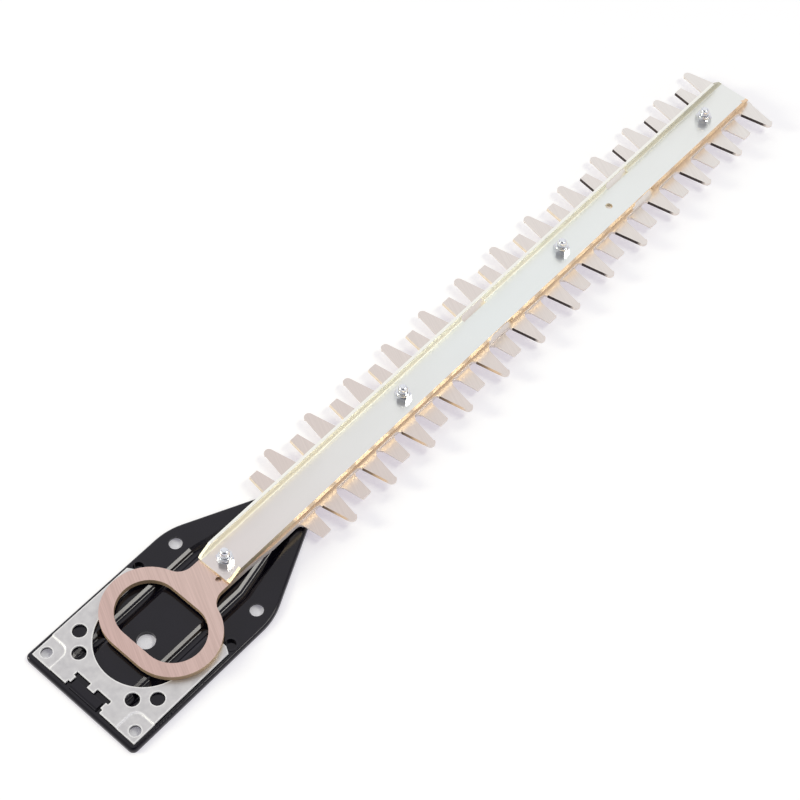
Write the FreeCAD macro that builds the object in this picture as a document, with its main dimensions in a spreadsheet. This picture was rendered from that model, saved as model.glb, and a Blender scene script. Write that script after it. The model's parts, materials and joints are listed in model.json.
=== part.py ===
import FreeCAD, Part
import Sketcher
import math
import os

doc = FreeCAD.newDocument("hedge_trimmer_blade")
Vector = FreeCAD.Vector

# Driving sizes in millimetres, X from the crank axis to the blade tip, Z up from the floor
DRIVING = [
    ("blade_thick", 1.6),
    ("run_gap", 0.1),
    ("yoke_rest", 10.5),
    ("yoke_half", 16.5),
    ("yoke_straight", 9.0),
    ("yoke_wall", 7.4),
    ("neck_half", 10.3),
    ("neck_end", 50.0),
    ("neck_fillet", 9.0),
    ("spine_half", 11.6),
    ("spine_start", 66.0),
    ("tooth_pitch", 30.0),
    ("tooth_count", 13),
    ("first_long", 105.3),
    ("long_root_half", 6.0),
    ("long_end_half", 2.54),
    ("long_end", 29.34),
    ("tip_radius", 2.6),
    ("short_root_half", 5.0),
    ("short_end_half", 3.15),
    ("short_end", 25.3),
    ("gullet_radius", 2.6),
    ("bevel_wide", 0.5),
    ("bevel_clear", 2.0),
    ("travel", 21.0),
    ("oil_hole_x", 34.8),
    ("oil_hole_y", 4.5),
    ("oil_hole_radius", 1.5),
    ("bolt_count", 4),
    ("bolt_pitches", 4.4),
    ("bolt_first", 54.8),
    ("shank_radius", 2.45),
    ("head_radius", 4.75),
    ("head_height", 2.8),
    ("head_round", 1.2),
    ("socket_half", 1.5),
    ("socket_deep", 1.4),
    ("thread_over", 4.0),
    ("thread_round", 1.5),
    ("washer_thick", 1.8),
    ("washer_radius", 7.0),
    ("bolt_clear", 0.15),
    ("sleeve_radius", 3.5),
    ("nut_half", 4.0),
    ("nut_high", 4.7),
    ("nut_hex_high", 3.2),
    ("nut_bevel", 0.6),
    ("nut_collar_radius", 3.75),
    ("nut_collar_round", 0.5),
    ("nut_lip", 0.4),
    ("insert_radius", 3.1),
    ("insert_deep", 1.4),
    ("bar_start", 46.8),
    ("bar_setback", 0.6),
    ("bar_half", 11.05),
    ("bar_high", 6.3),
    ("bar_sheet", 1.5),
    ("bar_bend", 2.8),
    ("bar_inner_bend", 1.4),
    ("bar_trim_long", 8.0),
    ("bar_trim_low", 1.6),
    ("bar_slot_start", 245.2),
    ("bar_slot_long", 18.2),
    ("bar_slot_space", 126.0),
    ("bar_slot_in", 7.5),
    ("bar_slot_high", 5.15),
    ("bar_hole_x", 361.8),
    ("bar_hole_radius", 2.0),
    ("base_high", 2.8),
    ("base_sheet", 1.2),
    ("base_half", 37.3),
    ("base_rear", 45.0),
    ("base_shoulder", 50.4),
    ("base_tip", 100.0),
    ("base_tip_half", 13.7),
    ("base_corner", 3.0),
    ("base_shoulder_radius", 36.0),
    ("base_tip_corner", 2.0),
    ("base_rim", 1.5),
    ("groove_y", 17.0),
    ("groove_half", 4.0),
    ("groove_floor_half", 2.5),
    ("groove_flank", 0.7),
    ("groove_radius", 3.3),
    ("groove_wall", 0.8),
    ("groove_rear", 34.0),
    ("groove_run", 6.0),
    ("groove_bend", 50.0),
    ("groove_front", 86.0),
    ("groove_turn", 12.0),
    ("seat_radius", 9.6),
    ("seat_slope", 41.0),
    ("crank_hole_radius", 4.75),
    ("crank_collar_radius", 6.2),
    ("front_hole_x", 47.6),
    ("front_hole_y", 28.0),
    ("front_hole_radius", 3.5),
    ("rear_hole_x", 36.7),
    ("rear_hole_y", 30.4),
    ("rear_hole_radius", 3.0),
    ("cup_x", 25.6),
    ("cup_y", 31.7),
    ("cup_radius", 3.8),
    ("cup_hole_radius", 2.9),
    ("cup_rim", 0.4),
    ("cup_deep", 2.2),
    ("cup_floor", 0.8),
    ("lug_half", 9.0),
    ("lug_long", 5.0),
    ("lug_inset", 2.8),
    ("lug_high", 1.7),
    ("lug_bend", 1.2),
    ("lug_wall", 1.1),
    ("wear_sheet", 1.0),
    ("wear_half", 34.85),
    ("wear_rear", 41.8),
    ("wear_mouth", 25.7),
    ("ear_front", 23.0),
    ("ear_slant", 2.0),
    ("ear_corner", 31.5),
    ("ear_tab_out", 28.2),
    ("wear_hole_a_x", 18.4),
    ("wear_hole_a_y", 26.8),
    ("wear_hole_b_x", 26.7),
    ("wear_hole_b_y", 18.3),
    ("wear_hole_radius", 3.7),
    ("pad_front", 28.4),
    ("pad_inner", 22.5),
    ("pad_radius", 5.0),
    ("pad_slope", 38.0),
    ("notch_half", 11.7),
    ("notch_front", 33.9),
    ("notch_nub", 1.4),
    ("notch_nub_rear", 39.7),
    ("notch_nub_front", 36.2),
    ("notch_tongue_half", 2.2),
    ("notch_tongue", 2.8),
]

# Sizes that follow from the driving ones
DERIVED = [
    ("yoke_outer", "yoke_half + yoke_wall"),
    ("blade_end", "first_long + (tooth_count - 1) * tooth_pitch + long_root_half"),
    ("tooth_run", "(tooth_count - 1) * tooth_pitch"),
    ("root_sink", "spine_half - 3"),
    ("long_near", "first_long - long_root_half"),
    ("long_far", "first_long + long_root_half"),
    ("long_tip_near", "first_long - long_end_half"),
    ("long_tip_far", "first_long + long_end_half"),
    ("first_short", "first_long - tooth_pitch / 2"),
    ("short_near", "first_short - short_root_half"),
    ("short_far", "first_short + short_root_half"),
    ("short_tip_near", "first_short - short_end_half"),
    ("short_tip_far", "first_short + short_end_half"),
    ("bevel_start", "spine_half + bevel_clear"),
    ("long_bevel_half", "long_root_half - (long_root_half - long_end_half)"
        " * bevel_clear / (long_end - spine_half)"),
    ("short_bevel_half", "short_root_half - (short_root_half - short_end_half)"
        " * bevel_clear / (short_end - spine_half)"),
    ("bolt_space", "bolt_pitches * tooth_pitch"),
    ("bolt_run", "(bolt_count - 1) * bolt_space"),
    ("slot_radius", "sleeve_radius + run_gap"),
    ("slot_rear", "bolt_first - yoke_rest"),
    ("slot_front", "slot_rear + travel"),
    ("hole_radius", "shank_radius + bolt_clear"),
    ("seat_top", "head_height + washer_thick"),
    ("lower_z", "seat_top + run_gap"),
    ("upper_z", "lower_z + blade_thick + run_gap"),
    ("bar_z", "upper_z + blade_thick + run_gap"),
    ("sleeve_long", "bar_z - seat_top"),
    ("nut_z", "bar_z + bar_sheet"),
    ("shank_long", "nut_z + nut_high + thread_over - head_height"),
    ("bolt_one_z", "seat_top - base_sheet - head_height"),
    ("nut_corner", "nut_half / cos(30 deg)"),
    ("nut_corner_half", "nut_corner / 2"),
    ("nut_crown", "nut_high - nut_lip"),
    ("nut_over", "nut_corner + 0.5"),
    ("nut_bevel_low", "nut_hex_high - (nut_over - nut_half) * nut_bevel"),
    ("socket_corner", "socket_half / cos(30 deg)"),
    ("socket_corner_half", "socket_corner / 2"),
    ("insert_z", "nut_z + nut_crown - insert_deep"),
    ("bar_end", "yoke_rest + blade_end - bar_setback"),
    ("bar_long", "bar_end - bar_start"),
    ("bar_inner", "bar_half - bar_sheet"),
    ("bar_deep", "bar_high - bar_sheet"),
    ("bar_near_trim", "bar_start + bar_trim_long"),
    ("bar_far_trim", "bar_end - bar_trim_long"),
    ("bar_over_near", "bar_start - 2"),
    ("bar_over_far", "bar_end + 2"),
    ("bar_over_top", "bar_high + 2"),
    ("bar_slot_end", "bar_slot_start + bar_slot_long"),
    ("bar_slot_out", "bar_half + 2"),
    ("base_under", "base_high - base_sheet"),
    ("groove_near", "groove_rear - groove_run"),
    ("groove_fade", "groove_front + groove_run"),
    ("groove_over", "base_high + 0.4"),
    ("groove_inside", "base_under + 0.4"),
    ("groove_front_y", "groove_y - (groove_front - groove_bend) * tan(groove_turn * 1 deg)"),
    ("groove_fade_y", "groove_y - (groove_fade - groove_bend) * tan(groove_turn * 1 deg)"),
    ("swell_radius", "groove_radius + 1.2"),
    ("crank_collar_high", "base_under + 0.3"),
    ("seat_rise", "seat_top - base_high"),
    ("seat_under_radius", "seat_radius - 0.9"),
    ("cup_top", "base_high + cup_rim"),
    ("cup_low", "cup_top - cup_deep - cup_floor"),
    ("cup_high", "cup_top - cup_low"),
    ("lug_rear", "base_rear - lug_inset"),
    ("lug_front", "lug_rear - lug_long"),
    ("lug_sink", "base_high - 0.6"),
    ("lug_total", "lug_high + 0.6"),
    ("lug_hollow_rear", "lug_rear - lug_wall"),
    ("lug_hollow_front", "lug_front + lug_wall"),
    ("lug_hollow_half", "lug_half - lug_wall"),
    ("wear_z", "seat_top - wear_sheet"),
    ("wear_step", "wear_z - base_high"),
    ("ear_side", "ear_front - ear_slant"),
    ("ear_tab_in", "wear_mouth + 0.2"),
    ("ear_tab_rear", "ear_front - wear_sheet"),
    ("mouth_front", "ear_front + 5"),
    ("pad_shift", "wear_sheet / cos(pad_slope * 1 deg) - wear_sheet * tan(pad_slope * 1 deg)"),
    ("pad_block_front", "pad_front - pad_shift"),
    ("pad_block_inner", "pad_inner - pad_shift"),
    ("pad_block_radius", "pad_radius + pad_shift"),
    ("pad_turn_x", "pad_front + pad_radius"),
    ("pad_turn_y", "pad_inner + pad_radius"),
    ("pad_over_rear", "wear_rear + 6"),
    ("pad_over_side", "wear_half + 6"),
    ("trim_rear", "wear_rear + 12"),
    ("trim_side", "wear_half + 12"),
    ("trim_front", "ear_front + 12"),
    ("notch_nub_half", "notch_half - notch_nub"),
    ("notch_over", "wear_rear + 3"),
    ("notch_tongue_rear", "notch_front + notch_tongue"),
]

# Width of the bevel cutter beyond the tooth flank
for flank in ("long", "short"):
    for edge, sign in (("near", "-"), ("far", "+")):
        back = "+" if sign == "-" else "-"
        root = "first_%s %s %s_bevel_half" % (flank, sign, flank)
        DERIVED.append(("%s_%s_root" % (flank, edge), root))
        DERIVED.append(("%s_%s_root_in" % (flank, edge), "%s %s bevel_wide" % (root, back)))
        DERIVED.append(("%s_%s_root_out" % (flank, edge), "%s %s 1.5" % (root, sign)))
        tip = "%s_tip_%s" % (flank, edge)
        DERIVED.append(("%s_%s_tip_in" % (flank, edge), "%s %s bevel_wide" % (tip, back)))
        DERIVED.append(("%s_%s_tip_out" % (flank, edge), "%s %s 1.5" % (tip, sign)))

# Groove sections, full and faded to a quarter at both ends
for place, middle, share in (
    ("rear", "groove_y", "4"),
    ("mid", "groove_y", "1"),
    ("front", "groove_front_y", "1"),
    ("end", "groove_fade_y", "4"),
):
    for side, sign in (("left", "+"), ("right", "-")):
        stem = "%s_%s" % (place, side)
        DERIVED.append(("groove_edge_" + stem, "%s %s groove_half / %s" % (middle, sign, share)))
        DERIVED.append(("groove_floor_" + stem, "%s %s groove_floor_half / %s" % (middle, sign, share)))
for depth, share in (("full", "1"), ("part", "4")):
    DERIVED.append(("groove_bottom_" + depth, "base_high - groove_flank / " + share))
    DERIVED.append(("groove_radius_" + depth, "groove_radius / " + share))
    DERIVED.append(("swell_bottom_" + depth, "base_under - (groove_wall - groove_flank / 2) / " + share))
    DERIVED.append(("swell_radius_" + depth, "swell_radius / " + share))

sheet = doc.addObject("Spreadsheet::Sheet", "dims")
row = 0
for alias, size in DRIVING:
    row = row + 1
    sheet.set("A%d" % row, alias.replace("_", " "))
    sheet.set("B%d" % row, str(size))
    sheet.setAlias("B%d" % row, alias)
doc.recompute()
for alias, formula in DERIVED:
    row = row + 1
    sheet.set("A%d" % row, alias.replace("_", " "))
    sheet.set("B%d" % row, "=" + formula)
    sheet.setAlias("B%d" % row, alias)
    doc.recompute()


def number(token):
    """Value of a size name, with an optional minus sign in front."""
    if token == "0":
        return 0.0
    if token.startswith("-"):
        return -float(sheet.get(token[1:]))
    return float(sheet.get(token))


def formula_of(token):
    """Expression that ties a property to a size of the sheet."""
    if token.startswith("-"):
        return "-dims." + token[1:]
    return "dims." + token


def tie(thing, prop, token):
    """Binds one property to a size of the sheet."""
    if token == "0":
        return
    thing.setExpression(prop, formula_of(token))


def origin_part(body, role):
    """Origin plane or axis of a body."""
    for item in body.Origin.OriginFeatures:
        if item.Role == role:
            return item
    return None


def new_body(label, x="0", z="0"):
    """Empty body at its place in the shared frame."""
    body = doc.addObject("PartDesign::Body", label)
    body.Label = label
    tie(body, "Placement.Base.x", x)
    tie(body, "Placement.Base.z", z)
    return body


def new_sketch(body, name, role="XY_Plane", lift="0"):
    """Sketch on an origin plane of the body, lifted along the plane's normal."""
    sketch = body.newObject("Sketcher::SketchObject", name)
    sketch.AttachmentSupport = (origin_part(body, role), [""])
    sketch.MapMode = "FlatFace"
    tie(sketch, "AttachmentOffset.Base.z", lift)
    return sketch


def pin(sketch, geo, pos, x, y):
    """Fixes a sketch point at two sizes of the sheet."""
    for kind, token, axis in (("DistanceX", x, -2), ("DistanceY", y, -1)):
        if token == "0":
            sketch.addConstraint(Sketcher.Constraint("PointOnObject", geo, pos, axis))
        else:
            index = sketch.addConstraint(Sketcher.Constraint(kind, -1, 1, geo, pos, number(token)))
            tie(sketch, "Constraints[%d]" % index, token)


def point(x, y):
    """Numeric place of a sketch point."""
    return Vector(number(x), number(y), 0)


def outline(sketch, corners):
    """Closed outline of straight edges through named corners."""
    count = len(corners)
    edges = []
    for i in range(count):
        start = point(*corners[i])
        end = point(*corners[(i + 1) % count])
        edges.append(sketch.addGeometry(Part.LineSegment(start, end), False))
    for i in range(count):
        follower = edges[(i + 1) % count]
        sketch.addConstraint(Sketcher.Constraint("Coincident", edges[i], 2, follower, 1))
        pin(sketch, edges[i], 1, *corners[i])
    return edges


def rectangle(sketch, x_low, x_high, y_low, y_high):
    """Rectangle between four sizes."""
    return outline(sketch, [(x_low, y_low), (x_high, y_low), (x_high, y_high), (x_low, y_high)])


def circle(sketch, x, y, radius):
    """Circle with its centre and radius tied to the sheet."""
    ring = Part.Circle(point(x, y), Vector(0, 0, 1), number(radius))
    geo = sketch.addGeometry(ring, False)
    pin(sketch, geo, 3, x, y)
    index = sketch.addConstraint(Sketcher.Constraint("Radius", geo, number(radius)))
    tie(sketch, "Constraints[%d]" % index, radius)
    return geo


def stadium(sketch, along, low, high, radius):
    """Slot outline along one sketch axis, between two end centres."""
    turn = 0.0 if along == "X" else math.pi / 2
    first = (low, "0") if along == "X" else ("0", low)
    second = (high, "0") if along == "X" else ("0", high)
    size = number(radius)
    arcs = []
    for centre, start in ((first, math.pi / 2 + turn), (second, -math.pi / 2 + turn)):
        ring = Part.Circle(point(*centre), Vector(0, 0, 1), size)
        arcs.append(sketch.addGeometry(Part.ArcOfCircle(ring, start, start + math.pi), False))
    sides = []
    for a, b in ((0, 1), (1, 0)):
        start = sketch.getPoint(arcs[a], 2)
        end = sketch.getPoint(arcs[b], 1)
        sides.append(sketch.addGeometry(Part.LineSegment(start, end), False))
    sketch.addConstraint(Sketcher.Constraint("Tangent", arcs[0], 2, sides[0], 1))
    sketch.addConstraint(Sketcher.Constraint("Tangent", sides[0], 2, arcs[1], 1))
    sketch.addConstraint(Sketcher.Constraint("Tangent", arcs[1], 2, sides[1], 1))
    sketch.addConstraint(Sketcher.Constraint("Tangent", sides[1], 2, arcs[0], 1))
    pin(sketch, arcs[0], 3, *first)
    pin(sketch, arcs[1], 3, *second)
    index = sketch.addConstraint(Sketcher.Constraint("Radius", arcs[0], size))
    tie(sketch, "Constraints[%d]" % index, radius)
    sketch.addConstraint(Sketcher.Constraint("Equal", arcs[0], arcs[1]))


def open_path(sketch, path):
    """Row of joined straight edges through named corners, with both ends left free for an arc."""
    edges = []
    for a, b in zip(path[:-1], path[1:]):
        edges.append(sketch.addGeometry(Part.LineSegment(point(*a), point(*b)), False))
    for a, b in zip(edges[:-1], edges[1:]):
        sketch.addConstraint(Sketcher.Constraint("Coincident", a, 2, b, 1))
    for edge, corner in zip(edges, path[:-1]):
        pin(sketch, edge, 1, *corner)
    pin(sketch, edges[-1], 2, *path[-1])
    return edges


def crowned(sketch, feet, tops, sink, root, end, radius):
    """Tapered outline with straight flanks and a round crown between them."""
    path = [(tops[1], end), (feet[1], root), (feet[1], sink), (feet[0], sink), (feet[0], root), (tops[0], end)]
    edges = open_path(sketch, path)
    start = point(*path[-1])
    stop = point(*path[0])
    size = number(radius)
    middle = (start + stop) * 0.5
    outward = 1.0 if number(end) > number(root) else -1.0
    half = (stop - start).Length / 2
    drop = math.sqrt(max(size * size - half * half, 0.0))
    centre = middle - Vector(0, outward * drop, 0)
    angles = []
    for spot in (start, stop):
        angles.append(math.atan2(spot.y - centre.y, spot.x - centre.x))
    turns = angles if (angles[1] - angles[0]) % (2 * math.pi) < math.pi * 1.2 else angles[::-1]
    ring = Part.Circle(centre, Vector(0, 0, 1), size)
    last = turns[1] if turns[1] > turns[0] else turns[1] + 2 * math.pi
    arc = sketch.addGeometry(Part.ArcOfCircle(ring, turns[0], last), False)
    ends = (1, 2) if turns[0] == angles[0] else (2, 1)
    sketch.addConstraint(Sketcher.Constraint("Coincident", edges[-1], 2, arc, ends[0]))
    sketch.addConstraint(Sketcher.Constraint("Coincident", edges[0], 1, arc, ends[1]))
    index = sketch.addConstraint(Sketcher.Constraint("Radius", arc, size))
    tie(sketch, "Constraints[%d]" % index, radius)


def pad(body, sketch, length, down=False, slope=None):
    """Raises a sketch to a solid, with an optional draft angle."""
    feature = body.newObject("PartDesign::Pad", sketch.Name + "_pad")
    feature.Profile = sketch
    feature.Length = number(length)
    feature.setExpression("Length", formula_of(length))
    feature.Reversed = down
    if slope is not None:
        feature.TaperAngle = number(slope)
        feature.setExpression("TaperAngle", formula_of(slope))
    body.Tip = feature
    doc.recompute()
    return feature


def pocket(body, sketch, length=None, up=False, slope=None):
    """Cuts a sketch out, right through unless a depth is given."""
    before = body.Shape.Volume
    feature = body.newObject("PartDesign::Pocket", sketch.Name + "_cut")
    feature.Profile = sketch
    if length is None:
        feature.Type = "ThroughAll"
        feature.Midplane = True
    else:
        feature.Length = number(length)
        feature.setExpression("Length", formula_of(length))
        feature.Reversed = up
    if slope is not None:
        feature.TaperAngle = number(slope)
        feature.setExpression("TaperAngle", formula_of(slope))
    body.Tip = feature
    doc.recompute()
    if body.Shape.Volume >= before - 1e-6:
        raise RuntimeError("nothing cut by " + feature.Name)
    return feature


def repeat(body, features, name, length, count):
    """Row of features along X."""
    row_feature = body.newObject("PartDesign::LinearPattern", name)
    row_feature.Originals = features
    row_feature.Direction = (origin_part(body, "X_Axis"), [""])
    row_feature.Length = number(length)
    row_feature.setExpression("Length", formula_of(length))
    row_feature.Occurrences = int(number(count))
    row_feature.setExpression("Occurrences", formula_of(count))
    body.Tip = row_feature
    doc.recompute()
    return row_feature


def mirror(body, features, name):
    """Same features on the other side of the middle plane."""
    twin = body.newObject("PartDesign::Mirrored", name)
    twin.Originals = features
    twin.MirrorPlane = (origin_part(body, "XZ_Plane"), [""])
    body.Tip = twin
    doc.recompute()
    return twin


def round_edges(body, name, radius, wanted):
    """Rounds the edges of the body that pass a test."""
    base = body.Tip
    names = []
    for i, edge in enumerate(base.Shape.Edges):
        if wanted(edge):
            names.append("Edge%d" % (i + 1))
    if not names:
        raise RuntimeError("no edge found for " + name)
    feature = body.newObject("PartDesign::Fillet", name)
    feature.Base = (base, names)
    feature.Radius = number(radius)
    feature.setExpression("Radius", formula_of(radius))
    body.Tip = feature
    doc.recompute()
    return feature


def shell(body, name, thick, opened):
    """Hollows a body inward to one wall thickness, open at the faces that pass a test."""
    base = body.Tip
    names = []
    for i, face in enumerate(base.Shape.Faces):
        if opened(face):
            names.append("Face%d" % (i + 1))
    feature = body.newObject("PartDesign::Thickness", name)
    feature.Base = (base, names)
    feature.Value = number(thick)
    feature.setExpression("Value", formula_of(thick))
    feature.Reversed = True
    body.Tip = feature
    doc.recompute()
    if body.Shape.Volume >= base.Shape.Volume:
        raise RuntimeError("nothing hollowed by " + name)
    return feature


def turned_cut(body, sketch):
    """Cuts a profile all round the body's upright axis."""
    before = body.Shape.Volume
    feature = body.newObject("PartDesign::Groove", sketch.Name + "_turn")
    feature.Profile = sketch
    feature.ReferenceAxis = (sketch, ["V_Axis"])
    feature.Angle = 360
    body.Tip = feature
    doc.recompute()
    if body.Shape.Volume >= before - 1e-6:
        raise RuntimeError("nothing cut by " + feature.Name)
    return feature


def loft(body, kind, name, sketches):
    """Straight-sided solid through a row of sections."""
    feature = body.newObject("PartDesign::%sLoft" % kind, name)
    feature.Profile = sketches[0]
    feature.Sections = sketches[1:]
    feature.Ruled = True
    body.Tip = feature
    doc.recompute()
    return feature


def upright(edge):
    """True for a straight edge along Z."""
    box = edge.BoundBox
    return box.XLength < 1e-4 and box.YLength < 1e-4 and box.ZLength > 0.1


def spot(edge):
    """Middle of an edge's bounding box."""
    return edge.BoundBox.Center


# Shear blades: yoke ring, neck, spine, bevelled teeth and slots
def make_blade(label, z, turned):
    body = new_body(label, "yoke_rest", z)
    ring = new_sketch(body, label + "_ring")
    stadium(ring, "Y", "-yoke_straight", "yoke_straight", "yoke_outer")
    pad(body, ring, "blade_thick")

    spine = new_sketch(body, label + "_spine")
    outline(spine, [
        ("0", "-neck_half"), ("neck_end", "-neck_half"), ("spine_start", "-spine_half"),
        ("blade_end", "-spine_half"), ("blade_end", "spine_half"), ("spine_start", "spine_half"),
        ("neck_end", "neck_half"), ("0", "neck_half"),
    ])
    pad(body, spine, "blade_thick")
    outer = number("yoke_outer")
    neck = number("neck_half")

    def neck_corner(edge):
        return upright(edge) and abs(abs(spot(edge).y) - neck) < 0.01 and 5 < spot(edge).x < outer + 5

    round_edges(body, label + "_neck", "neck_fillet", neck_corner)

    mouth = new_sketch(body, label + "_yoke")
    stadium(mouth, "Y", "-yoke_straight", "yoke_straight", "yoke_half")
    pocket(body, mouth)

    long_tooth = new_sketch(body, label + "_long")
    crowned(long_tooth, ("long_near", "long_far"), ("long_tip_near", "long_tip_far"),
            "-root_sink", "-spine_half", "-long_end", "tip_radius")
    long_pad = pad(body, long_tooth, "blade_thick")
    repeat(body, [long_pad], label + "_long_row", "tooth_run", "tooth_count")

    short_tooth = new_sketch(body, label + "_short")
    outline(short_tooth, [
        ("short_near", "root_sink"), ("short_far", "root_sink"), ("short_far", "spine_half"),
        ("short_tip_far", "short_end"), ("short_tip_near", "short_end"), ("short_near", "spine_half"),
    ])
    short_pad = pad(body, short_tooth, "blade_thick")
    repeat(body, [short_pad], label + "_short_row", "tooth_run", "tooth_count")

    edge_y = number("spine_half")
    end_x = number("blade_end")

    def gullet(edge):
        place = spot(edge)
        return (upright(edge) and abs(abs(place.y) - edge_y) < 0.01
                and number("short_near") - 1 < place.x < end_x - 0.5)

    round_edges(body, label + "_gullets", "gullet_radius", gullet)

    cuts = []
    for flank, side, reach in (("long", "", "long_end"), ("short", "-", "short_end")):
        for edge in ("near", "far"):
            stem = "%s_%s" % (flank, edge)
            tip = "%s_tip_%s" % (flank, edge)
            root_cut = new_sketch(body, "%s_%s_a" % (label, stem), "XZ_Plane", side + "bevel_start")
            outline(root_cut, [
                (stem + "_root", "0"), (stem + "_root_in", "blade_thick"),
                (stem + "_root_out", "blade_thick"), (stem + "_root_out", "0"),
            ])
            tip_cut = new_sketch(body, "%s_%s_b" % (label, stem), "XZ_Plane", side + reach)
            outline(tip_cut, [
                (tip, "0"), (stem + "_tip_in", "blade_thick"),
                (stem + "_tip_out", "blade_thick"), (stem + "_tip_out", "0"),
            ])
            cuts.append(loft(body, "Subtractive", "%s_%s_bevel" % (label, stem), [root_cut, tip_cut]))
    repeat(body, cuts, label + "_bevel_row", "tooth_run", "tooth_count")

    slot = new_sketch(body, label + "_slot")
    stadium(slot, "X", "slot_rear", "slot_front", "slot_radius")
    slot_cut = pocket(body, slot)
    repeat(body, [slot_cut], label + "_slot_row", "bolt_run", "bolt_count")

    oil = new_sketch(body, label + "_oil")
    circle(oil, "oil_hole_x", "-oil_hole_y", "oil_hole_radius")
    pocket(body, oil)
    if turned:
        body.Placement = FreeCAD.Placement(body.Placement.Base, FreeCAD.Rotation(Vector(1, 0, 0), 180))
        body.setExpression("Placement.Base.z", "dims.%s + dims.blade_thick" % z)
    return body


nodes = []
nodes.append(make_blade("upper_blade", "upper_z", False))
nodes.append(make_blade("lower_blade", "lower_z", True))


# Guide bar: U section open upward, trimmed ends, flange slots and holes
bar = new_body("guide_bar", "0", "bar_z")
bar_plan = new_sketch(bar, "bar_plan")
rectangle(bar_plan, "bar_start", "bar_end", "-bar_half", "bar_half")
pad(bar, bar_plan, "bar_high")
bar_trough = new_sketch(bar, "bar_trough", "XY_Plane", "bar_high")
rectangle(bar_trough, "bar_over_near", "bar_over_far", "-bar_inner", "bar_inner")
pocket(bar, bar_trough, "bar_deep")


def bar_outer_bend(edge):
    box = edge.BoundBox
    return box.XLength > 100 and abs(box.ZMax) < 1e-4 and abs(abs(spot(edge).y) - number("bar_half")) < 0.01


def bar_inner_corner(edge):
    box = edge.BoundBox
    level = abs(box.ZMax - number("bar_sheet")) < 1e-4
    return box.XLength > 100 and level and abs(abs(spot(edge).y) - number("bar_inner")) < 0.01


round_edges(bar, "bar_bends", "bar_bend", bar_outer_bend)
round_edges(bar, "bar_inner_bends", "bar_inner_bend", bar_inner_corner)
bar_trim = new_sketch(bar, "bar_trim", "XZ_Plane")
outline(bar_trim, [
    ("bar_over_near", "bar_trim_low"), ("bar_start", "bar_trim_low"), ("bar_near_trim", "bar_high"),
    ("bar_near_trim", "bar_over_top"), ("bar_over_near", "bar_over_top"),
])
outline(bar_trim, [
    ("bar_over_far", "bar_trim_low"), ("bar_over_far", "bar_over_top"), ("bar_far_trim", "bar_over_top"),
    ("bar_far_trim", "bar_high"), ("bar_end", "bar_trim_low"),
])
pocket(bar, bar_trim)
bar_slot = new_sketch(bar, "bar_slot")
rectangle(bar_slot, "bar_slot_start", "bar_slot_end", "bar_slot_in", "bar_slot_out")
rectangle(bar_slot, "bar_slot_start", "bar_slot_end", "-bar_slot_out", "-bar_slot_in")
bar_slot_cut = pocket(bar, bar_slot, "bar_slot_high", True)
bar_slot_row = bar.newObject("PartDesign::LinearPattern", "bar_slot_row")
bar_slot_row.Originals = [bar_slot_cut]
bar_slot_row.Direction = (origin_part(bar, "X_Axis"), [""])
bar_slot_row.Length = number("bar_slot_space")
bar_slot_row.setExpression("Length", "dims.bar_slot_space")
bar_slot_row.Occurrences = 2
bar.Tip = bar_slot_row
doc.recompute()
bar_bolt_hole = new_sketch(bar, "bar_bolt_hole")
circle(bar_bolt_hole, "bolt_first", "0", "hole_radius")
bar_bolt_cut = pocket(bar, bar_bolt_hole)
repeat(bar, [bar_bolt_cut], "bar_bolt_row", "bolt_run", "bolt_count")
bar_hole = new_sketch(bar, "bar_hole")
circle(bar_hole, "bar_hole_x", "0", "bar_hole_radius")
pocket(bar, bar_hole)
nodes.append(bar)


# Base plate: pressed tray with rounded rim, two grooves, bolt seat, lug, cups and holes
base = new_body("base_plate")
base_plan = new_sketch(base, "base_plan")
outline(base_plan, [
    ("-base_rear", "-base_half"), ("base_shoulder", "-base_half"), ("base_tip", "-base_tip_half"),
    ("base_tip", "base_tip_half"), ("base_shoulder", "base_half"), ("-base_rear", "base_half"),
])
pad(base, base_plan, "base_high")
for name, radius, place in (
    ("base_rear_corners", "base_corner", "-base_rear"),
    ("base_shoulders", "base_shoulder_radius", "base_shoulder"),
    ("base_tip_corners", "base_tip_corner", "base_tip"),
):
    at_x = number(place)
    round_edges(base, name, radius, lambda edge: upright(edge) and abs(spot(edge).x - at_x) < 0.01)
tray_top = number("base_high")
round_edges(base, "base_rim_round", "base_rim",
            lambda edge: edge.BoundBox.ZLength < 1e-4 and abs(edge.BoundBox.ZMax - tray_top) < 1e-4)
shell(base, "base_tray", "base_sheet", lambda face: face.BoundBox.ZMax < 1e-4)


def groove_row(stem, sink, root, bottom, radius):
    """Cross-sections of one groove, or of the swell under it, from the rear to the front."""
    sections = []
    for place, lift, depth in (
        ("rear", "-groove_rear", "part"), ("mid", "-groove_near", "full"),
        ("mid", "groove_bend", "full"), ("front", "groove_front", "full"), ("end", "groove_fade", "part"),
    ):
        sketch = new_sketch(base, "%s_%d" % (stem, len(sections) + 1), "YZ_Plane", lift)
        edges = ("groove_edge_%s_right" % place, "groove_edge_%s_left" % place)
        floor = ("groove_floor_%s_right" % place, "groove_floor_%s_left" % place)
        crowned(sketch, edges, floor, sink, root, bottom + depth, radius + depth)
        sections.append(sketch)
    return sections


swell = loft(base, "Additive", "swell_left",
             groove_row("swell", "groove_inside", "base_under", "swell_bottom_", "swell_radius_"))
mirror(base, [swell], "swell_right")
groove = loft(base, "Subtractive", "groove_left",
              groove_row("groove", "groove_over", "base_high", "groove_bottom_", "groove_radius_"))
mirror(base, [groove], "groove_right")

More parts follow.
